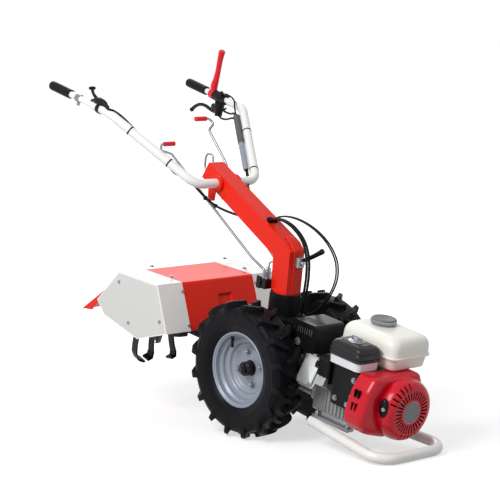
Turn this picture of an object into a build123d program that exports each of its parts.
from build123d import *
import math
import os

os.makedirs("parts", exist_ok=True)

# Walking tractor with a rear tiller. Driving dimensions, in millimetres and degrees.
# X points to the engine, Y to the left and Z up, with the machine level, its axle at X = 0
# and the ground at Z = 0. At the end it is turned nose down until its bumper stands on the floor.
tyre_radius = 248.0
tyre_width = 124.0
track_half = 184.0
lug_height = 20.0
lug_thickness = 17.0
lugs_per_side = 16
bead_radius = 127.0
rim_width = 89.0
rim_sheet = 3.5
disc_inset = 63.0
hub_flange_radius = 72.0
hub_hole_radius = 29.2
hub_nose_radius = 26.0
hub_nose_length = 30.0
bolts = 4
bolt_circle = 120.0
bolt_start = 20.0
bolt_across = 19.0
bolt_height = 11.0
axle_shaft_radius = 14.0

gearbox_half_width = 74.0
gearbox_rear_x = -85.0
gearbox_front_x = 158.0
gearbox_bottom_z = 158.0
gearbox_top_z = 428.0
turret_radius = 58.0
turret_top_z = 498.0
trumpet_radius = 38.0
trumpet_end_y = 112.0

crank_z = 275.0
bell_front_x = 255.0
bell_half_width = 86.0
crankcase_front_x = 505.0
crankcase_half_width = 85.0
engine_foot_z = 169.0
shroud_radius = 112.0
shroud_depth = 83.0
recoil_radius = 111.0
recoil_depth = 55.0
recoil_slots = 32

tank_rear_x = 285.0
tank_length = 268.0
tank_centre_y = 68.0
tank_width = 192.0
tank_bottom_z = 388.0
tank_seam_z = 436.0
tank_top_z = 503.0
cap_radius = 47.0

cleaner_rear_x = 352.0
cleaner_length = 124.0
cleaner_gap = 3.0
cleaner_width = 112.0
cleaner_bottom_z = 387.0
cleaner_cap_z = 420.0
cleaner_top_z = 475.0
guard_rear_x = 132.0
guard_length = 120.0
guard_near_y = -114.0
guard_width = 140.0
guard_bottom_z = 356.0
guard_top_z = 474.0
guard_sheet = 2.0

bumper_tube_radius = 19.0
bumper_front_x = 684.5
bumper_axis_z = 138.0
bumper_front_half = 166.0
bumper_rear_x = 285.0
bumper_rear_half = 112.0
bumper_corner_radius = 68.0

rotor_x = -545.0
rotor_z = 257.0
rotor_radius = 165.0
rotor_shaft_radius = 15.0
tine_bend = 34.0
tine_shoulder = 46.0
tine_thickness = 7.0
tine_flanges = (90.0, 165.0, 238.0)
tine_turns = (80.0, 100.0, 105.0)
tine_first_bends = (1, 1, -1)
tiller_leg_half = 28.0
torque_tube_half = 45.0

hood_half_width = 293.0
hood_centre_half = 190.0
hood_sheet = 2.5
hood_lap = 14.0
hood_front_bottom = (-334.0, 285.0)
hood_front_top = (-416.0, 450.0)
hood_rear_top = (-647.0, 436.0)
hood_hinge = (-704.0, 367.0)
hood_rear_corner = (-764.0, 295.0)
hood_rear_bottom = (-712.0, 249.0)
hood_low_point = (-499.0, 216.0)
flap_tip = (-860.0, 230.0)
hinge_rod_radius = 4.0

column_half_width = 36.0
column_wall = 4.0
column_foot_x = (-80.0, 2.0)
column_foot_z = 506.0
column_elbow_front = (-6.0, 668.0)
column_elbow_rear = (-92.0, 634.0)
column_top_front = (-500.0, 884.0)
column_top_rear = (-530.0, 822.0)
swivel_x = -38.0
swivel_pin_radius = 16.0

handle_radius = 17.5
handle_wall = 2.5
handle_cross = (-430.0, 822.0)
handle_low = (-440.0, 150.0, 818.0)
handle_bend = (-757.0, 334.0, 1030.0)
handle_end = (-1107.0, 342.0, 1062.0)
handle_inner_radius = 12.5
grip_radius = 18.0
grip_length = 125.0

shift_y = 52.0
shift_foot = (-108.0, 545.0)
knob_right = (-772.0, 894.0)
knob_left = (-629.0, 1023.0)
knob_offset = 16.0
knob_length = 50.0
conduit_radius = 13.0
cable_hole_x = -155.0
thick_cable_radius = 4.5
thin_cable_radius = 3.0

running_gap = 0.05
seat_gap = 0.2
moving_gap = 5.0

# The air cleaner stands beside the tank's flange.
tank_flange = 4.0
cleaner_centre_y = tank_centre_y - tank_width / 2 - tank_flange - cleaner_gap - cleaner_width / 2

# The park angle follows from the wheels and the bumper standing on one floor.
bumper_drop = tyre_radius - bumper_axis_z
bumper_reach = math.hypot(bumper_front_x, bumper_drop)
park_angle = math.degrees(
    math.asin((tyre_radius - bumper_tube_radius) / bumper_reach)
    - math.atan2(bumper_drop, bumper_front_x)
)


def block(x, y, z):
    """Block between two values on each axis."""
    centre = Pos((x[0] + x[1]) / 2, (y[0] + y[1]) / 2, (z[0] + z[1]) / 2)
    return centre * Box(abs(x[1] - x[0]), abs(y[1] - y[0]), abs(z[1] - z[0]))


def soft_block(x, y, z, radius, axis=Axis.Z):
    """Block with its four edges along one axis rounded."""
    body = block(x, y, z)
    return fillet(body.edges().filter_by(axis), radius)


def side_plate(points, y):
    """Flat shape drawn in X and Z and given a thickness between two values of Y."""
    face = Plane.XZ * make_face(Polyline(*points, close=True))
    return Pos(0, max(y), 0) * extrude(face, amount=max(y) - min(y))


def rod_y(x, z, radius, y):
    """Round bar along Y between two values of Y."""
    bar = Cylinder(radius, abs(y[1] - y[0]), rotation=(90, 0, 0))
    return Pos(x, (y[0] + y[1]) / 2, z) * bar


def rod_x(y, z, radius, x):
    """Round bar along X between two values of X."""
    bar = Cylinder(radius, abs(x[1] - x[0]), rotation=(0, 90, 0))
    return Pos((x[0] + x[1]) / 2, y, z) * bar


def rod_z(x, y, radius, z):
    """Round bar along Z between two values of Z."""
    return Pos(x, y, (z[0] + z[1]) / 2) * Cylinder(radius, abs(z[1] - z[0]))


def ribbon(points, thickness):
    """Outline of a sheet whose left side runs through the points, with mitred corners."""
    steps = [(b[0] - a[0], b[1] - a[1]) for a, b in zip(points, points[1:])]
    normals = [(dy / math.hypot(dx, dy), -dx / math.hypot(dx, dy)) for dx, dy in steps]
    other = []
    for i, (x, y) in enumerate(points):
        before = normals[max(i - 1, 0)]
        after = normals[min(i, len(normals) - 1)]
        share = thickness / (1 + before[0] * after[0] + before[1] * after[1])
        other.append((x + (before[0] + after[0]) * share, y + (before[1] + after[1]) * share))
    return [*points, *reversed(other)]


def bent_tube(points, bends, radius):
    """Round bar along straight runs joined by arcs."""
    path = FilletPolyline(*points, radius=bends)
    section = Plane(path @ 0, z_dir=path % 0) * Circle(radius)
    return sweep(section, path=path)


def mirrored(shape):
    """The same piece on the other side of the machine."""
    return mirror(shape, Plane.XZ)


def between(a, b, share):
    """Point a given share of the way from a to b."""
    return tuple(p + (q - p) * share for p, q in zip(a, b))


# Wheels: drawn around the Y axis at the origin, outer side towards +Y.


def tyre_lug():
    """One bar of the tread, from the middle of the tyre out over its shoulder."""
    half = tyre_width / 2
    back = lug_thickness
    plan = [
        (10, -6),
        (10 - back, -6),
        (-6 - back, half * 0.42),
        (-34 - back, half + 2),
        (-34, half + 2),
        (4, half * 0.42),
    ]
    base = Pos(0, 0, tyre_radius - 2 * lug_height) * make_face(Polyline(*plan, close=True))
    return extrude(base, amount=3 * lug_height)


def tyre():
    """Carcass with a bar tread: two rows of bars, set half a pitch apart."""
    bead = bead_radius
    floor = tyre_radius - lug_height
    half = tyre_width / 2
    flange = rim_width / 2 - 6.6
    side = [
        (bead, flange),
        (bead + 13, flange),
        (bead + 20, flange + 9),
        (bead + 38, half - 4),
        (bead + 60, half),
        (floor - 16, half - 1),
        (floor - 2, half - 8),
    ]
    section = side + [(r, -y) for r, y in reversed(side)]
    carcass = revolve(make_face(Polyline(*section, close=True)), Axis.Y)
    shoulder = [
        (floor - 8, half - 10),
        (floor - 18, half + 0.5),
        (tyre_radius - 12, half),
        (tyre_radius - 2, half - 9),
        (tyre_radius, 12),
    ]
    tread = shoulder + [(r, -y) for r, y in reversed(shoulder)]
    envelope = revolve(make_face(Polyline(*tread, close=True)), Axis.Y)
    pitch = 360 / lugs_per_side
    bars = []
    for i in range(lugs_per_side):
        bars.append(Rot(0, i * pitch + park_angle, 0) * tyre_lug())
        bars.append(Rot(0, (i + 0.5) * pitch + park_angle, 0) * mirror(tyre_lug(), Plane.XZ))
    treads = [bar & envelope for bar in bars]
    return carcass + treads


def rim():
    """Pressed rim with a stepped dish, flanges outside the tyre's beads."""
    lip = rim_width / 2
    bed = bead_radius - rim_sheet - 0.1
    outline = [
        (bead_radius + 14, lip),
        (bead_radius + 9, lip - 3),
        (bed, lip - 3),
        (bed, lip - 22),
        (bed - 13, lip - 30),
        (bed - 13, -lip + 30),
        (bed, -lip + 22),
        (bed, -lip + 3),
        (bead_radius + 9, -lip + 3),
        (bead_radius + 14, -lip),
    ]
    bed_ring = revolve(make_face(Polyline(*ribbon(outline, -rim_sheet), close=True)), Axis.Y)
    disc_y = lip - disc_inset
    dish = [
        (bed - 12, lip - 38),
        (bed - 26, lip - 42),
        (bed - 33, lip - 54),
        (bed - 50, disc_y + 2),
        (bed - 56, disc_y - rim_sheet),
        (hub_hole_radius, disc_y - rim_sheet),
    ]
    disc = revolve(make_face(Polyline(*ribbon(dish, rim_sheet), close=True)), Axis.Y)
    head = extrude(RegularPolygon(bolt_across / 2, 6, major_radius=False), amount=-bolt_height)
    spots = Pos(0, disc_y - 0.5, 0) * Rot(90, 0, 0) * PolarLocations(bolt_circle / 2, bolts, start_angle=bolt_start)
    return bed_ring + disc + [spot * head for spot in spots]


def hub():
    """Hub with its flange behind the disc, its nose through it and its axle shaft."""
    disc_y = rim_width / 2 - disc_inset - rim_sheet
    inner_end = trumpet_end_y + moving_gap - track_half
    flange = rod_y(0, 0, hub_flange_radius, (disc_y - 8, disc_y))
    barrel = rod_y(0, 0, 34, (inner_end, disc_y))
    face = disc_y + rim_sheet + 0.5
    spigot = rod_y(0, 0, hub_hole_radius - seat_gap, (disc_y, face))
    nose = rod_y(0, 0, hub_nose_radius, (face, face + hub_nose_length))
    cap = rod_y(0, 0, 17, (face + hub_nose_length, face + hub_nose_length + 10))
    shaft = rod_y(0, 0, axle_shaft_radius, (inner_end - 50, inner_end))
    return flange + barrel + spigot + nose + cap + shaft


# Chassis: gearbox, bell housing, engine and bumper.


def gearbox():
    """Cast case between the wheels, with its two axle trumpets and the swivel turret on top."""
    case = soft_block(
        (gearbox_rear_x, gearbox_front_x),
        (-gearbox_half_width, gearbox_half_width),
        (gearbox_bottom_z, 352),
        16,
        Axis.X,
    )
    neck = soft_block((gearbox_rear_x, 78), (-62, 62), (300, gearbox_top_z), 22, Axis.Z)
    turret = rod_z(swivel_x, 0, turret_radius, (gearbox_top_z - 40, turret_top_z))
    trumpets = rod_y(0, tyre_radius, trumpet_radius, (-trumpet_end_y, trumpet_end_y))
    collars = rod_y(0, tyre_radius, trumpet_radius + 12, (-gearbox_half_width - 10, gearbox_half_width + 10))
    body = case + neck + turret + trumpets + collars
    shaft_hole = axle_shaft_radius + running_gap
    depth = 52
    for side in (-1, 1):
        body -= rod_y(0, tyre_radius, shaft_hole, (side * (trumpet_end_y - depth), side * trumpet_end_y))
    pin_hole = swivel_pin_radius + running_gap
    return body - rod_z(swivel_x, 0, pin_hole, (turret_top_z - 62, turret_top_z))


def clutch_housing():
    """Aluminium bell between the gearbox and the engine, wider towards the engine."""
    low = crank_z - 70
    high = crank_z + 70
    body = soft_block(
        (gearbox_front_x, bell_front_x), (-bell_half_width, bell_half_width), (low, high), 30, Axis.X
    )
    flange_x = (bell_front_x - 10, bell_front_x)
    flange = soft_block(flange_x, (-bell_half_width - 8, bell_half_width + 8), (low - 8, high + 8), 34, Axis.X)
    return body + flange


def engine_block():
    """Crankcase on its feet, with the finned cylinder leaning out to the right."""
    case = soft_block(
        (bell_front_x, crankcase_front_x),
        (-crankcase_half_width, crankcase_half_width),
        (engine_foot_z, 345),
        14,
        Axis.X,
    )
    deck = block((tank_rear_x + 15, crankcase_front_x), (-18, 110), (340, tank_bottom_z))
    feet = block((300, 470), (-96, 96), (engine_foot_z, engine_foot_z + 12))
    lean = Pos(0, 0, crank_z) * Rot(-25, 0, 0)
    x = (262, 352)
    barrel = lean * block((x[0] + 12, x[1] - 8), (-120, -40), (-38, 38))
    body = case + deck + feet + barrel
    for i in range(4):
        fin_y = -84 - i * 9
        body += lean * block(x, (fin_y - 2.5, fin_y), (-50, 50))
    head = lean * soft_block((x[0], x[1]), (-142, -119), (-48, 48), 8, Axis.Y)
    crank = rod_x(0, crank_z, 60, (crankcase_front_x, crankcase_front_x + 55))
    wheel = rod_x(0, crank_z, 86, (crankcase_front_x + 50, crankcase_front_x + shroud_depth - 6))
    return body + head + crank + wheel


def shroud_outline(grow):
    """Front outline of the fan shroud: round about the crank, with a lobe over the cylinder."""
    ring = Pos(0, crank_z) * Circle(shroud_radius + grow)
    lobe = make_face(
        Polyline(
            (-172 - grow, 262),
            (-150 - grow, tank_bottom_z - 10 + grow),
            (-120, tank_bottom_z - 2 + grow),
            (86, tank_bottom_z - 2 + grow),
            (110 + grow, crank_z + 60),
            (60, crank_z),
            (-100, crank_z - 66 - grow),
            (-160 - grow, crank_z - 40 - grow),
            close=True,
        )
    )
    return Plane.YZ * (ring + lobe)


def fan_shroud():
    """Pressed cover over the flywheel, open to the back, with a round hole for the recoil."""
    outer = extrude(shroud_outline(0), amount=shroud_depth)
    inner = extrude(shroud_outline(-3), amount=shroud_depth - 3)
    shell = Pos(crankcase_front_x, 0, 0) * (outer - inner)
    return shell - rod_x(0, crank_z, recoil_radius - 18, (crankcase_front_x, crankcase_front_x + shroud_depth + 1))


def recoil_cover():
    """Domed starter cover with a ring of air slots around its middle."""
    x = crankcase_front_x + shroud_depth
    radius = recoil_radius
    profile = [
        (x, radius),
        (x + 10, radius),
        (x + 30, radius - 4),
        (x + recoil_depth - 8, radius - 16),
        (x + recoil_depth, radius - 28),
        (x + recoil_depth, 0),
    ]
    dome = revolve(make_face(Polyline(*ribbon(profile, 3), close=True)), Axis.X)
    slot = block((recoil_depth - 12, recoil_depth + 4), (-2.2, 2.2), (58, 82))
    turn = 360 / recoil_slots
    slots = [Pos(x, 0, 0) * Rot(i * turn, 0, 0) * slot for i in range(recoil_slots)]
    return Pos(0, 0, crank_z) * (dome - slots)


def starter_grip():
    """Pull handle standing in the side of the recoil cover."""
    x = crankcase_front_x + shroud_depth
    y = (-recoil_radius - 16, -recoil_radius)
    return soft_block((x + 2, x + 24), y, (crank_z - 12, crank_z + 52), 7, Axis.Z)


def fuel_tank():
    """Two pressed halves welded at a flange, the lower one tapered."""
    x = (tank_rear_x, tank_rear_x + tank_length)
    y = (tank_centre_y - tank_width / 2, tank_centre_y + tank_width / 2)
    seam = tank_seam_z
    upper = soft_block(x, y, (seam, tank_top_z), 30)
    upper = fillet(upper.edges().group_by(Axis.Z)[-1], 20)
    lower_face = Pos(sum(x) / 2, sum(y) / 2, seam) * RectangleRounded(tank_length - 8, tank_width - 8, 26)
    lower = extrude(lower_face, amount=tank_bottom_z - seam, taper=8)
    flange_face = Pos(sum(x) / 2, sum(y) / 2, seam - 1.5) * RectangleRounded(
        tank_length + 2 * tank_flange, tank_width + 2 * tank_flange, 33
    )
    flange = extrude(flange_face, amount=3)
    neck = rod_z(cap_x(), cap_y(), cap_radius - 12, (tank_top_z - 6, tank_top_z + 5))
    return upper + lower + flange + neck


def cap_x():
    """Filler's place along the machine."""
    return tank_rear_x + tank_length * 0.36


def cap_y():
    """Filler's place across the machine."""
    return tank_centre_y + 16


def fuel_cap():
    """Low screw cap on the filler neck."""
    base = tank_top_z + 5
    cap = rod_z(cap_x(), cap_y(), cap_radius, (base, base + 19))
    return chamfer(cap.edges().group_by(Axis.Z)[-1], 5)


def air_cleaner_body():
    """Pale lower shell of the air cleaner, on the carburettor cover."""
    x = (cleaner_rear_x + 4, cleaner_rear_x + cleaner_length - 4)
    y = (cleaner_centre_y - cleaner_width / 2 + 4, cleaner_centre_y + cleaner_width / 2 - 4)
    return soft_block(x, y, (cleaner_bottom_z, cleaner_cap_z), 18)


def air_cleaner_cap():
    """Dark lid of the air cleaner with its wing nut."""
    x = (cleaner_rear_x, cleaner_rear_x + cleaner_length)
    y = (cleaner_centre_y - cleaner_width / 2, cleaner_centre_y + cleaner_width / 2)
    lid = soft_block(x, y, (cleaner_cap_z, cleaner_top_z), 20)
    lid = fillet(lid.edges().group_by(Axis.Z)[-1], 12)
    nut = rod_z(sum(x) / 2, sum(y) / 2, 26, (cleaner_top_z - 1, cleaner_top_z + 9))
    return lid + nut


def carburettor_cover():
    """Dark moulded box under the air cleaner, on the side of the crankcase."""
    body = soft_block((362, 500), (-118, -crankcase_half_width), (268, cleaner_bottom_z), 8, Axis.Y)
    elbow = block((380, 470), (-crankcase_half_width - 4, -40), (346, cleaner_bottom_z))
    return body + elbow


def muffler():
    """Plain silencer inside its guard, on the exhaust port of the cylinder head."""
    gap = 9
    x = (guard_rear_x + gap, guard_rear_x + guard_length - gap)
    y = (guard_near_y + gap, guard_near_y + guard_width - gap)
    body = soft_block(x, y, (guard_bottom_z + 6, guard_top_z - gap), 12, Axis.Y)
    studs_y = (guard_near_y + guard_sheet, guard_near_y + guard_width - guard_sheet)
    for stud_x in (x[0] + 25, x[1] - 25):
        body += rod_y(stud_x, guard_bottom_z + 30, 5, studs_y)
    outlet = rod_y(x[0] + 26, guard_top_z - 78, 14, (guard_near_y - 1, y[0] + 1))
    port = block((x[1] - 20, 262), (-113, -bell_half_width - 9), (322, guard_bottom_z + 12))
    return body + outlet + port


def muffler_guard():
    """Black perforated box around the silencer, open below."""
    x = (guard_rear_x, guard_rear_x + guard_length)
    y = (guard_near_y, guard_near_y + guard_width)
    t = guard_sheet
    outer = soft_block(x, y, (guard_bottom_z, guard_top_z), 12, Axis.Y)
    outer -= block((x[0] - 1, x[1] + 1), (y[0] - 1, y[1] + 1), (guard_bottom_z - 1, guard_bottom_z + 12))
    inner = block((x[0] + t, x[1] - t), (y[0] + t, y[1] - t), (guard_bottom_z, guard_top_z - 12))
    inner += block((x[0] + 12, x[1] - 12), (y[0] + t, y[1] - t), (guard_bottom_z, guard_top_z - t))
    box = outer - inner
    slots = 8
    pitch = (guard_length - 40) / (slots - 1)
    for i in range(slots):
        slot_x = x[0] + 20 + i * pitch
        box -= block((slot_x - 2.5, slot_x + 2.5), (y[0] - 1, y[0] + 8), (guard_top_z - 42, guard_top_z - 18))
        box -= block((slot_x - 2.5, slot_x + 2.5), (y[0] + 18, y[0] + 62), (guard_top_z - 8, guard_top_z + 1))
    hole_z = guard_top_z - 78
    return box - rod_y(x[0] + 9 + 26, hole_z, 16, (y[0] - 1, y[0] + 8))


def mount_channel():
    """Pressed channel that carries the engine on the bumper's rails."""
    top = engine_foot_z
    rail_top = bumper_axis_z + bumper_tube_radius
    plate = block((290, 468), (-118, 118), (rail_top, top))
    return plate - block((289, 469), (-86, 86), (rail_top - 1, top - 5))


def bumper():
    """One bent tube: two rails under the engine joined by the front bar."""
    z = bumper_axis_z
    points = [
        (bumper_rear_x, -bumper_rear_half, z),
        (bumper_front_x, -bumper_front_half, z),
        (bumper_front_x, bumper_front_half, z),
        (bumper_rear_x, bumper_rear_half, z),
    ]
    return bent_tube(points, bumper_corner_radius, bumper_tube_radius)


# Tiller: drive case, hood, rear flap and rotor.


def hood_top_underside(x):
    """Height of the underside of the hood's top sheet at one place."""
    share = (x - hood_front_top[0]) / (hood_rear_top[0] - hood_front_top[0])
    top = hood_front_top[1] + (hood_rear_top[1] - hood_front_top[1]) * share
    drop = hood_sheet * math.hypot(1, (hood_rear_top[1] - hood_front_top[1]) / (hood_rear_top[0] - hood_front_top[0]))
    return top - drop


def tiller_case():
    """Drive from the gearbox: a wide torque tube, then a narrow leg down to the rotor."""
    half = torque_tube_half
    tube = soft_block((-385, gearbox_rear_x), (-half, half), (200, 283), 18, Axis.X)
    leg = side_plate(
        [(-370, 206), (-370, 283), (-430, 318), (rotor_x - 30, rotor_z + 52), (rotor_x - 30, rotor_z - 52)],
        (-tiller_leg_half, tiller_leg_half),
    )
    boss = rod_y(rotor_x, rotor_z, 60, (-tiller_leg_half, tiller_leg_half))
    rear_x = rotor_x - 10
    hanger_x = hood_front_top[0] - 12
    hanger = side_plate(
        [
            (-352, 275),
            (-440, 275),
            (rear_x, rotor_z + 40),
            (rear_x, hood_top_underside(rear_x)),
            (hanger_x, hood_top_underside(hanger_x)),
        ],
        (-6, 6),
    )
    flange = soft_block((gearbox_rear_x - 14, gearbox_rear_x), (-66, 66), (182, 300), 14, Axis.X)
    body = tube + leg + boss + hanger + flange
    return body - rod_y(rotor_x, rotor_z, rotor_shaft_radius + running_gap, (-tiller_leg_half, tiller_leg_half))


def hood_line():
    """The hood's sheet from its front lower edge over the top to the flap's hinge."""
    return [hood_front_bottom, hood_front_top, hood_rear_top, hood_sheet_end()]


def hood_sheet_end():
    """End of the rear slope, a little short of the hinge."""
    return between(hood_rear_top, hood_hinge, 0.86)


def hood_centre():
    """Red middle of the hood with the hinge knuckles of the flap."""
    y = (-hood_centre_half, hood_centre_half)
    sheet = side_plate(ribbon(hood_line(), -hood_sheet), y)
    knuckles = []
    for centre in (-150, 0, 150):
        span = (centre - 15, centre + 15)
        end = hood_sheet_end()
        tab = side_plate(ribbon([between(hood_rear_top, end, 0.9), hood_hinge], -hood_sheet), span)
        eye = rod_y(hood_hinge[0], hood_hinge[1], hinge_rod_radius + 4, span)
        hole = rod_y(hood_hinge[0], hood_hinge[1], hinge_rod_radius + running_gap, span)
        knuckles.append(tab + eye - hole)
    return sheet + knuckles


def hood_wing():
    """White left end of the hood, lapped over the middle, with its end plate."""
    y = (hood_centre_half - hood_lap, hood_half_width)
    sheet = side_plate(ribbon(hood_line(), hood_sheet), y)
    outline = [
        hood_front_bottom,
        hood_front_top,
        hood_rear_top,
        hood_rear_corner,
        hood_rear_bottom,
        hood_low_point,
    ]
    return sheet + side_plate(outline, (hood_half_width - hood_sheet, hood_half_width))


def rear_flap():
    """Hinged flap behind the rotor with a cheek at each end."""
    half = hood_half_width - hood_sheet - moving_gap
    t = hood_sheet
    plate = side_plate(ribbon([hood_hinge, flap_tip], -t), (-half, half))
    for centre in (-150, 0, 150):
        reach = hinge_rod_radius + 4 + moving_gap
        plate -= rod_y(hood_hinge[0], hood_hinge[1], reach, (centre - 20, centre + 20))
    rod = rod_y(hood_hinge[0], hood_hinge[1], hinge_rod_radius, (-half, half))
    near = between(hood_hinge, flap_tip, 0.18)
    cheek = [near, flap_tip, (flap_tip[0] + 62, flap_tip[1] + 12)]
    cheeks = side_plate(cheek, (half - t, half)) + side_plate(cheek, (-half, -half + t))
    return plate + rod + cheeks


def tine(side):
    """One blade: a flat arm swept back in the turning plane and bent sideways at its end."""
    radius = rotor_radius
    shoulder = radius - tine_shoulder
    arm = [(34, 0), (shoulder, 0), (shoulder + 18, side * 9), (shoulder + 25, side * tine_bend)]
    strip = make_face(Polyline(*ribbon(arm, tine_thickness), close=True))
    strip = Pos(0, -tine_thickness / 2, 0) * strip
    bent = Pos(0, 0, -90) * extrude(strip, amount=180)
    front = ThreePointArc((20, -16), (radius * 0.5, -12), (radius * 0.93, 12))
    tip = Line((radius * 0.93, 12), (radius * 0.9, 48))
    trail = ThreePointArc((radius * 0.9, 48), (radius * 0.5, 16), (20, 18))
    root = Line((20, 18), (20, -16))
    sabre = extrude(Plane.XZ * make_face([front, tip, trail, root]), amount=120, both=True)
    return bent & sabre


def rotor_shaft():
    """Through shaft of the rotor with the hubs that the blades are bolted to."""
    half = tine_flanges[-1] + 18
    body = rod_y(0, 0, rotor_shaft_radius, (-half, half))
    for side in (-1, 1):
        body += rod_y(0, 0, 26, (side * (tiller_leg_half + moving_gap), side * half))
    return body


def tine_set(side):
    """Three flanges on one side of the rotor, four blades on each, bent left and right in turn."""
    body = None
    for row, y in enumerate(tine_flanges):
        ring = rod_y(0, 0, 52, (side * y - 4, side * y + 4)) - rod_y(0, 0, 26 + seat_gap, (side * y - 5, side * y + 5))
        for i in range(4):
            bend = side * tine_first_bends[row] * (-1) ** i
            blade = Rot(0, 90 * i + tine_turns[row], 0) * tine(bend)
            ring += Pos(0, side * y, 0) * blade
        body = ring if body is None else body + ring
    return body - rod_y(0, 0, 26 + seat_gap, (-300, 300))


# Steering column and handlebar.


def column():
    """Pressed box column: upright foot, elbow and arm back to the handlebar."""
    outline = [
        (column_foot_x[0], column_foot_z),
        (column_foot_x[1], column_foot_z),
        column_elbow_front,
        (column_elbow_front[0] - 30, column_elbow_front[1] + 27),
        column_top_front,
        column_top_rear,
        column_elbow_rear,
    ]
    half = column_half_width
    face = make_face(Polyline(*outline, close=True))
    hollow = offset(face, amount=-column_wall, kind=Kind.INTERSECTION)
    box = extrude(Plane.XZ * face, amount=half, both=True)
    box -= extrude(Plane.XZ * hollow, amount=half - column_wall, both=True)
    bosses = rod_y(*handle_cross, handle_radius + 10, (-half - 14, half + 14))
    bosses -= rod_y(*handle_cross, handle_radius + 9, (-half + 1, half - 1))
    box += bosses
    box -= rod_y(*handle_cross, handle_radius + seat_gap, (-half - 20, half + 20))
    foot = rod_z(swivel_x, 0, 52, (turret_top_z + 2, column_foot_z + 1))
    pin = rod_z(swivel_x, 0, swivel_pin_radius, (turret_top_z - 58, turret_top_z + 3))
    cable_hole = Pos(cable_hole_x, 0, 750) * Rot(0, -22, 0) * Cylinder(22, 30)
    return box + foot + pin - cable_hole


def handlebar():
    """One bent tube through the column, with a thinner tube in each end for the grips."""
    outer_end = between(handle_bend, handle_end, 0.24)
    plug_end = between(handle_bend, handle_end, 0.21)
    path = [outer_end, handle_bend, (handle_cross[0], handle_low[1], handle_cross[1])]
    path += [(x, -y, z) for x, y, z in reversed(path)]
    bends = [95, 70, 70, 95]
    tube = bent_tube(path, bends, handle_radius) - bent_tube(path, bends, handle_radius - handle_wall)
    plug = tube_between(outer_end, plug_end, handle_radius - handle_wall + 0.5)
    inner = tube_between(outer_end, handle_end, handle_inner_radius)
    inner -= tube_between(outer_end, handle_end, handle_inner_radius - handle_wall)
    end = plug + inner
    return tube + end + mirrored(end)


def tube_between(a, b, radius):
    """Straight round bar between two points."""
    line = Line(a, b)
    return sweep(Plane(line @ 0, z_dir=line % 0) * Circle(radius), path=line)


def handle_frame(share):
    """Frame on the left handle's last run: Z along it to the grip, X up, Y across."""
    direction = Vector(*handle_end) - Vector(*handle_bend)
    up = Vector(0, 0, 1) - direction * (direction.Z / direction.length**2)
    return Plane(origin=between(handle_bend, handle_end, share), x_dir=up, z_dir=direction)


def grip():
    """Rubber grip closed over the left end of the handlebar."""
    length = (Vector(*handle_end) - Vector(*handle_bend)).length
    sleeve = handle_frame(1 - (grip_length - 6) / length) * Pos(0, 0, grip_length / 2) * Cylinder(grip_radius, grip_length)
    bar = tube_between(handle_bend, handle_end, handle_inner_radius + seat_gap)
    return sleeve - bar


def control_cluster():
    """Switch and lever housing clamped under the left handle."""
    body = block((-78, 24), (-20, 20), (-34, 34))
    body = fillet(body.edges().filter_by(Axis.Z), 10)
    body -= Cylinder(handle_inner_radius + seat_gap, 200)
    return handle_frame(0.4) * body


def stop_lever():
    """Red dead-man lever standing up from the control cluster."""
    outline = make_face(
        Polyline((24, 30), (24, -8), (60, -12), (198, -36), (206, -28), (206, -14), (198, -6), (70, 22), (52, 30), close=True)
    )
    blade = extrude(Plane.XZ * outline, amount=8, both=True)
    return handle_frame(0.4) * blade


def clutch_lever():
    """Black curved hand lever under the left grip."""
    path = [(-46, 0, 34), (-46, 0, 52), (-62, 0, 78), (-60, 0, 118), (-86, 0, 168)]
    return handle_frame(0.4) * bent_tube(path, [12, 20, 40], 7)


def throttle_lever():
    """Thumb throttle clamped on the right handle."""
    ring = Cylinder(22, 26) - Cylinder(handle_inner_radius + seat_gap, 40)
    body = ring + block((16, 34), (-14, 14), (-20, 20)) + block((26, 34), (-5, 5), (16, 72))
    return mirrored(handle_frame(0.36) * body)


def cable_conduit():
    """Ribbed conduit that holds the left handle's cables against its tube."""
    corner = (handle_cross[0], handle_low[1], handle_cross[1])
    along = (Vector(*corner) - Vector(*handle_bend)).normalized()
    aside = Vector(-14, -30, -6)
    aside = (aside - along * aside.dot(along)).normalized() * (handle_radius + conduit_radius + running_gap)
    a = Vector(*between(handle_bend, corner, 0.12)) + aside
    b = Vector(*between(handle_bend, corner, 0.86)) + aside
    return tube_between(tuple(a), tuple(b), conduit_radius)


def column_front_x(z):
    """Front face of the column's foot at one height."""
    share = (z - column_foot_z) / (column_elbow_front[1] - column_foot_z)
    return column_foot_x[1] + (column_elbow_front[0] - column_foot_x[1]) * share


def column_rear_x(z):
    """Rear face of the column's foot at one height."""
    share = (z - column_foot_z) / (column_elbow_rear[1] - column_foot_z)
    return column_foot_x[0] + (column_elbow_rear[0] - column_foot_x[0]) * share


def clamp_lever():
    """Swivel lock on the front of the column."""
    front_x = column_front_x(615) + 0.1
    bracket = soft_block((front_x, front_x + 22), (-15, 15), (615, 648), 5, Axis.X)
    arm = tube_between((front_x + 16, 4, 634), (96, 18, 690), 6)
    return bracket + arm


def guide_hook():
    """Bent wire bail at the top of the column."""
    upper = between(column_top_front, column_top_rear, 0.15)
    lower = between(column_top_front, column_top_rear, 0.85)
    run = math.dist(column_top_front, column_top_rear)
    out = ((column_top_rear[1] - column_top_front[1]) / run, (column_top_front[0] - column_top_rear[0]) / run)
    stem = [(p[0] + out[0] * step, 0, p[1] + out[1] * step) for p, step in ((upper, 0), (upper, 14), (lower, 40), (lower, 0))]
    points = [stem[0], stem[1], (-521, 0, 908), (-562, 0, 904), stem[2], stem[3]]
    return bent_tube(points, [6, 14, 20, 18], 4)


def linkage_block():
    """Black carrier behind the column foot that the two shift rods end in."""
    return soft_block((-126, column_rear_x(shift_foot[1]) - 0.1), (-64, 64), (508, shift_foot[1]), 6, Axis.Y)


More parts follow.
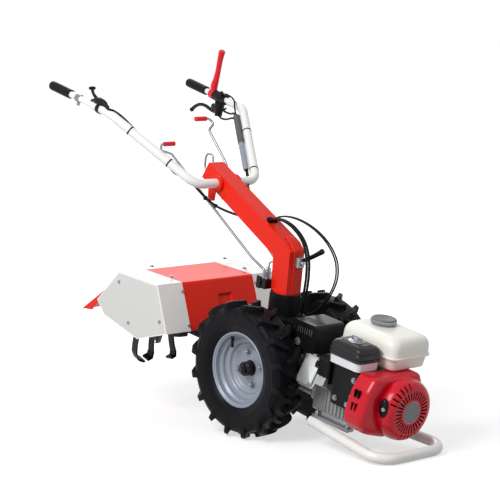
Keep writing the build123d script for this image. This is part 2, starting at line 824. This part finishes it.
def shift_rods():
    """Two bent rods from the linkage to the hand knobs, the left one passing behind the handlebar."""
    right = [
        (knob_right[0], knob_offset - shift_y, knob_right[1]),
        (knob_right[0], -shift_y, knob_right[1]),
        (knob_right[0] + 6, -shift_y, knob_right[1] - 24),
        (-703, -shift_y, 872),
        (-183, -shift_y, 600),
        (shift_foot[0], -shift_y, shift_foot[1] + 30),
        (shift_foot[0], -shift_y, shift_foot[1]),
    ]
    left = [
        (knob_left[0], shift_y - knob_offset, knob_left[1]),
        (knob_left[0], shift_y, knob_left[1]),
        (-596, shift_y, 1010),
        (-622, shift_y, 980),
        (-500, shift_y, 876),
        (-468, shift_y, 790),
        (-183, shift_y, 600),
        (shift_foot[0], shift_y, shift_foot[1] + 30),
        (shift_foot[0], shift_y, shift_foot[1]),
    ]
    return bent_tube(right, [9, 9, 16, 40, 16], 5), bent_tube(left, [9, 9, 12, 30, 30, 40, 16], 5)


def shift_knobs():
    """Red knobs across the tops of the two shift rods, pointing inwards."""
    right = rod_y(*knob_right, 9.5, (knob_offset - shift_y, knob_offset + knob_length - shift_y))
    left = rod_y(*knob_left, 9.5, (shift_y - knob_offset, shift_y - knob_offset - knob_length))
    return right, left


def cord_radii(points):
    """Largest arcs that the runs of a route allow, one for each corner."""
    radii = []
    for a, b, c in zip(points, points[1:], points[2:]):
        before = Vector(*b) - Vector(*a)
        after = Vector(*c) - Vector(*b)
        half_turn = math.radians(before.get_angle(after)) / 2
        radii.append(0.45 * min(before.length, after.length) / math.tan(half_turn))
    return radii


def control_cables():
    """Two thick and two thin cables from the column's hole over to the top of the gearbox."""
    top = gearbox_top_z
    thick = [(-176, 728), (-152, 752), (-99, 767), (-32, 757), (32, 721), (65, 664), (75, 600), (74, 536), (66, 478), (60, top + 24), (60, top + running_gap)]
    thin = [
        (-176, 733),
        (-150, 758),
        (-95, 778),
        (-22, 782),
        (56, 769),
        (130, 738),
        (184, 688),
        (198, 628),
        (180, 566),
        (146, 512),
        (108, 470),
        (66, top + 22),
        (64, top + running_gap),
    ]
    cables = None
    for y, route, radius in ((-14, thick, thick_cable_radius), (-4, thick, thick_cable_radius), (6, thin, thin_cable_radius), (14, thin, thin_cable_radius)):
        last = len(route) - 2
        points = [(x, y * (1 + 0.5 * min(i, last) / last), z) for i, (x, z) in enumerate(route)]
        radii = cord_radii(points)
        print("cable radii", [round(r) for r in radii])
        cable = bent_tube(points, radii, radius)
        cables = cable if cables is None else cables + cable
    return cables


# Output: one file per piece, turned to its parked pose, with the origin on the floor.


def all_pieces():
    """Every piece by name, in the level machine frame."""
    left_wheel = Pos(0, track_half, tyre_radius)
    tyre_left = left_wheel * tyre()
    rim_left = left_wheel * rim()
    hub_left = left_wheel * hub()
    rotor = Pos(rotor_x, 0, rotor_z)
    wing = hood_wing()
    rod_right, rod_left = shift_rods()
    knobs = shift_knobs()
    left_grip = grip()
    return {
        "gearbox": gearbox(),
        "clutch_housing": clutch_housing(),
        "engine_block": engine_block(),
        "fan_shroud": fan_shroud(),
        "recoil_cover": recoil_cover(),
        "starter_grip": starter_grip(),
        "fuel_tank": fuel_tank(),
        "fuel_cap": fuel_cap(),
        "air_cleaner_body": air_cleaner_body(),
        "air_cleaner_cap": air_cleaner_cap(),
        "carburettor_cover": carburettor_cover(),
        "muffler": muffler(),
        "muffler_guard": muffler_guard(),
        "mount_channel": mount_channel(),
        "bumper": bumper(),
        "control_cables": control_cables(),
        "tiller_case": tiller_case(),
        "hood_centre": hood_centre(),
        "hood_wing_left": wing,
        "hood_wing_right": mirrored(wing),
        "rear_flap": rear_flap(),
        "rotor_shaft": rotor * rotor_shaft(),
        "tines_left": rotor * tine_set(1),
        "tines_right": rotor * tine_set(-1),
        "tyre_left": tyre_left,
        "tyre_right": mirrored(tyre_left),
        "rim_left": rim_left,
        "rim_right": mirrored(rim_left),
        "hub_left": hub_left,
        "hub_right": mirrored(hub_left),
        "column": column(),
        "handlebar": handlebar(),
        "grip_left": left_grip,
        "grip_right": mirrored(left_grip),
        "control_cluster": control_cluster(),
        "stop_lever": stop_lever(),
        "clutch_lever": clutch_lever(),
        "throttle_lever": throttle_lever(),
        "cable_conduit": cable_conduit(),
        "clamp_lever": clamp_lever(),
        "guide_hook": guide_hook(),
        "linkage_block": linkage_block(),
        "shift_rod_right": rod_right,
        "shift_rod_left": rod_left,
        "shift_knob_right": knobs[0],
        "shift_knob_left": knobs[1],
    }


def parked(shape):
    """Turn a piece nose down about the axle."""
    return Pos(0, 0, tyre_radius) * Rot(0, park_angle, 0) * Pos(0, 0, -tyre_radius) * shape


def parked_point(x, z):
    """Where a point of the level machine comes to in the parked machine, before the shift."""
    turn = math.radians(park_angle)
    return (
        x * math.cos(turn) + (z - tyre_radius) * math.sin(turn),
        -x * math.sin(turn) + (z - tyre_radius) * math.cos(turn) + tyre_radius,
    )


pieces = {name: parked(shape) for name, shape in all_pieces().items()}
boxes = [shape.bounding_box() for shape in pieces.values()]
shift_x = -(min(b.min.X for b in boxes) + max(b.max.X for b in boxes)) / 2
for name, shape in pieces.items():
    export_step(Pos(shift_x, 0, 0) * shape, f"parts/{name}.step")
print("park angle", round(park_angle, 3), "shift", round(shift_x, 3))
